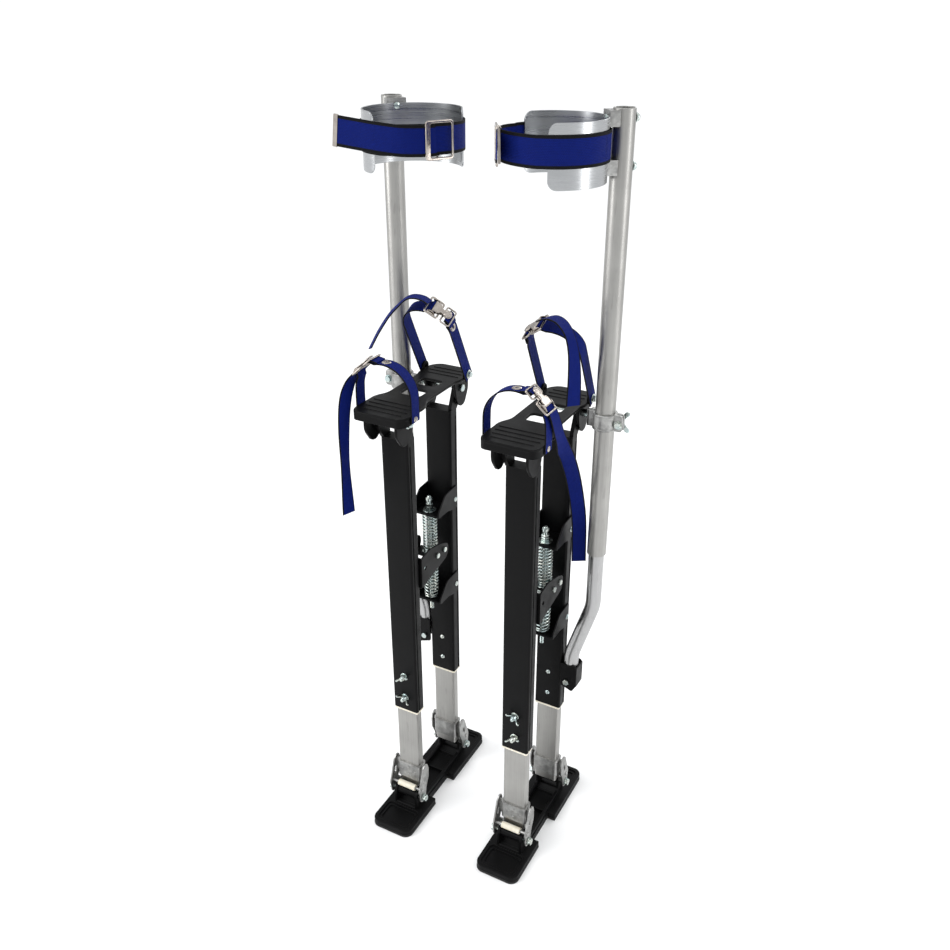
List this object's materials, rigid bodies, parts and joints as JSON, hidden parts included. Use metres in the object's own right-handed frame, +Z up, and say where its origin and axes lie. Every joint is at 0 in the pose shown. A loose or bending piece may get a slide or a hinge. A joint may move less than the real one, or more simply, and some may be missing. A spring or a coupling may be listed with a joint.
{
  "type": "drywall stilts",
  "caption": "Pair of height-adjustable aluminium drywall stilts with sprung parallelogram legs, strapped shoe plates and a calf band on a side tube.",
  "frame": {"origin": "on the floor, midway between the two stilts and midway along the floor plates", "axes": "+Z up, toes towards -Y, the wearer's left stilt on +X"},
  "size_m": [0.48, 0.33, 1.384],
  "materials": {
    "black_casting": "satin black powder coat on a cast light alloy",
    "black_metal": "satin black coat on extruded and pressed aluminium",
    "bare_aluminium": "natural drawn aluminium, fine scratches",
    "bright_aluminium": "bright brushed aluminium sheet",
    "zinc_steel": "galvanised pressed steel",
    "zinc_hardware": "bright zinc plated",
    "nickel_plate": "warm nickel plate",
    "black_rubber": "matt",
    "blue_webbing": "woven polyester webbing with black edges",
    "cream_nylon": "natural nylon"
  },
  "bodies": {
    "root": {"left_floor_plate": "black_casting", "right_floor_plate": "black_casting", "rubber_soles": "black_rubber", "floor_pivot_bolts": "zinc_hardware"},
    "left_rear_leg": {"left_rear_lower_tube": "bare_aluminium", "left_rear_ankle_bracket": "zinc_steel"},
    "left_front_leg": {"left_front_lower_tube": "bare_aluminium", "left_front_ankle_bracket": "zinc_steel"},
    "left_rear_upper": {"left_rear_strut": "black_metal", "left_rear_strut_bolts": "zinc_hardware", "left_strut_brackets": "black_metal", "left_spring_rod": "zinc_hardware", "left_upper_spring": "zinc_hardware", "left_lower_spring": "zinc_hardware", "left_inner_leg_tube": "bare_aluminium", "left_tube_clamp": "bare_aluminium"},
    "left_front_upper": {"left_front_strut": "black_metal", "left_front_wing_bolts": "zinc_hardware", "left_spring_lever": "black_metal"},
    "left_spring_seat": {"left_spring_seats": "zinc_hardware"},
    "left_footrest": {"left_shoe_plate": "black_casting", "left_shoe_plate_bolts": "zinc_hardware", "left_foot_straps": "blue_webbing", "left_strap_buckles": "nickel_plate"},
    "left_toe_lever": {"left_toe_buckle_lever": "nickel_plate"},
    "left_instep_lever": {"left_instep_buckle_lever": "nickel_plate"},
    "left_leg_brace": {"left_outer_leg_tube": "bare_aluminium", "left_leg_band": "bright_aluminium", "left_leg_band_brackets": "bare_aluminium", "left_leg_band_bolts": "zinc_hardware", "left_leg_strap": "blue_webbing", "left_leg_strap_buckle": "nickel_plate"},
    "right_rear_leg": {"right_rear_lower_tube": "bare_aluminium", "right_rear_ankle_bracket": "zinc_steel"},
    "right_front_leg": {"right_front_lower_tube": "bare_aluminium", "right_front_ankle_bracket": "zinc_steel"},
    "right_rear_upper": {"right_rear_strut": "black_metal", "right_rear_strut_bolts": "zinc_hardware", "right_strut_brackets": "black_metal", "right_spring_rod": "zinc_hardware", "right_upper_spring": "zinc_hardware", "right_lower_spring": "zinc_hardware", "right_inner_leg_tube": "bare_aluminium", "right_tube_clamp": "bare_aluminium"},
    "right_front_upper": {"right_front_strut": "black_metal", "right_front_wing_bolts": "zinc_hardware", "right_spring_lever": "black_metal"},
    "right_spring_seat": {"right_spring_seats": "zinc_hardware"},
    "right_footrest": {"right_shoe_plate": "black_casting", "right_shoe_plate_bolts": "zinc_hardware", "right_foot_straps": "blue_webbing", "right_strap_buckles": "nickel_plate"},
    "right_toe_lever": {"right_toe_buckle_lever": "nickel_plate"},
    "right_instep_lever": {"right_instep_buckle_lever": "nickel_plate"},
    "right_leg_brace": {"right_outer_leg_tube": "bare_aluminium", "right_leg_band": "bright_aluminium", "right_leg_band_brackets": "bare_aluminium", "right_leg_band_bolts": "zinc_hardware", "right_leg_strap": "blue_webbing", "right_leg_strap_buckle": "nickel_plate"}
  },
  "joints": [
    {"name": "left_sway", "type": "hinge", "parent": "root", "child": "left_rear_leg", "pos_m": [0.12, 0.09, 0.046], "axis": [1, 0, 0], "range_deg": [-10, 10], "stiffness_Nm_per_rad": 600},
    {"name": "left_spring_seat_slide", "type": "slide", "parent": "left_rear_upper", "child": "left_spring_seat", "axis": [0, 0, 1], "range_m": [-0.0316, 0.0316], "deforming": ["left_upper_spring", "left_lower_spring"]},
    {"name": "left_front_sway", "type": "hinge", "parent": "root", "child": "left_front_leg", "pos_m": [0.12, -0.09, 0.046], "axis": [1, 0, 0], "range_deg": [-10, 10]},
    {"name": "left_height", "type": "slide", "parent": "left_rear_leg", "child": "left_rear_upper", "axis": [0, 0, 1], "range_m": [0, 0.356]},
    {"name": "left_front_height", "type": "slide", "parent": "left_front_leg", "child": "left_front_upper", "axis": [0, 0, 1], "range_m": [0, 0.356]},
    {"name": "left_footrest_level", "type": "hinge", "parent": "left_rear_upper", "child": "left_footrest", "pos_m": [0.12, 0.09, 0.89], "axis": [1, 0, 0], "range_deg": [-10, 10]},
    {"name": "left_brace_slide", "type": "slide", "parent": "left_rear_upper", "child": "left_leg_brace", "axis": [0, 0, 1], "range_m": [-0.05, 0.05]},
    {"name": "left_toe_lever_hinge", "type": "hinge", "parent": "left_footrest", "child": "left_toe_lever", "pos_m": [0.1704, -0.1, 0.97845], "axis": [0, 1, 0], "range_deg": [0, 85]},
    {"name": "left_instep_lever_hinge", "type": "hinge", "parent": "left_footrest", "child": "left_instep_lever", "pos_m": [0.09559, 0.01976, 1.05978], "axis": [0, 0.891, 0.454], "range_deg": [0, 85]},
    {"name": "right_sway", "type": "hinge", "parent": "root", "child": "right_rear_leg", "pos_m": [-0.12, 0.09, 0.046], "axis": [1, 0, 0], "range_deg": [-10, 10], "stiffness_Nm_per_rad": 600},
    {"name": "right_spring_seat_slide", "type": "slide", "parent": "right_rear_upper", "child": "right_spring_seat", "axis": [0, 0, 1], "range_m": [-0.0316, 0.0316], "deforming": ["right_upper_spring", "right_lower_spring"]},
    {"name": "right_front_sway", "type": "hinge", "parent": "root", "child": "right_front_leg", "pos_m": [-0.12, -0.09, 0.046], "axis": [1, 0, 0], "range_deg": [-10, 10]},
    {"name": "right_height", "type": "slide", "parent": "right_rear_leg", "child": "right_rear_upper", "axis": [0, 0, 1], "range_m": [0, 0.356]},
    {"name": "right_front_height", "type": "slide", "parent": "right_front_leg", "child": "right_front_upper", "axis": [0, 0, 1], "range_m": [0, 0.356]},
    {"name": "right_footrest_level", "type": "hinge", "parent": "right_rear_upper", "child": "right_footrest", "pos_m": [-0.12, 0.09, 0.89], "axis": [1, 0, 0], "range_deg": [-10, 10]},
    {"name": "right_brace_slide", "type": "slide", "parent": "right_rear_upper", "child": "right_leg_brace", "axis": [0, 0, 1], "range_m": [-0.05, 0.05]},
    {"name": "right_toe_lever_hinge", "type": "hinge", "parent": "right_footrest", "child": "right_toe_lever", "pos_m": [-0.1704, -0.1, 0.97845], "axis": [0, -1, 0], "range_deg": [0, 85]},
    {"name": "right_instep_lever_hinge", "type": "hinge", "parent": "right_footrest", "child": "right_instep_lever", "pos_m": [-0.09559, 0.01976, 1.05978], "axis": [0, -0.891, -0.454], "range_deg": [0, 85]}
  ],
  "couplings": [
    {"joint": "left_front_sway", "follows": "left_sway", "ratio": 1},
    {"joint": "left_footrest_level", "follows": "left_sway", "ratio": -1},
    {"joint": "left_front_height", "follows": "left_height", "ratio": 1},
    {"joint": "left_spring_seat_slide", "follows": "left_sway", "m_per_rad": 0.18},
    {"joint": "right_front_sway", "follows": "right_sway", "ratio": 1},
    {"joint": "right_footrest_level", "follows": "right_sway", "ratio": -1},
    {"joint": "right_front_height", "follows": "right_height", "ratio": 1},
    {"joint": "right_spring_seat_slide", "follows": "right_sway", "m_per_rad": 0.18}
  ]
}
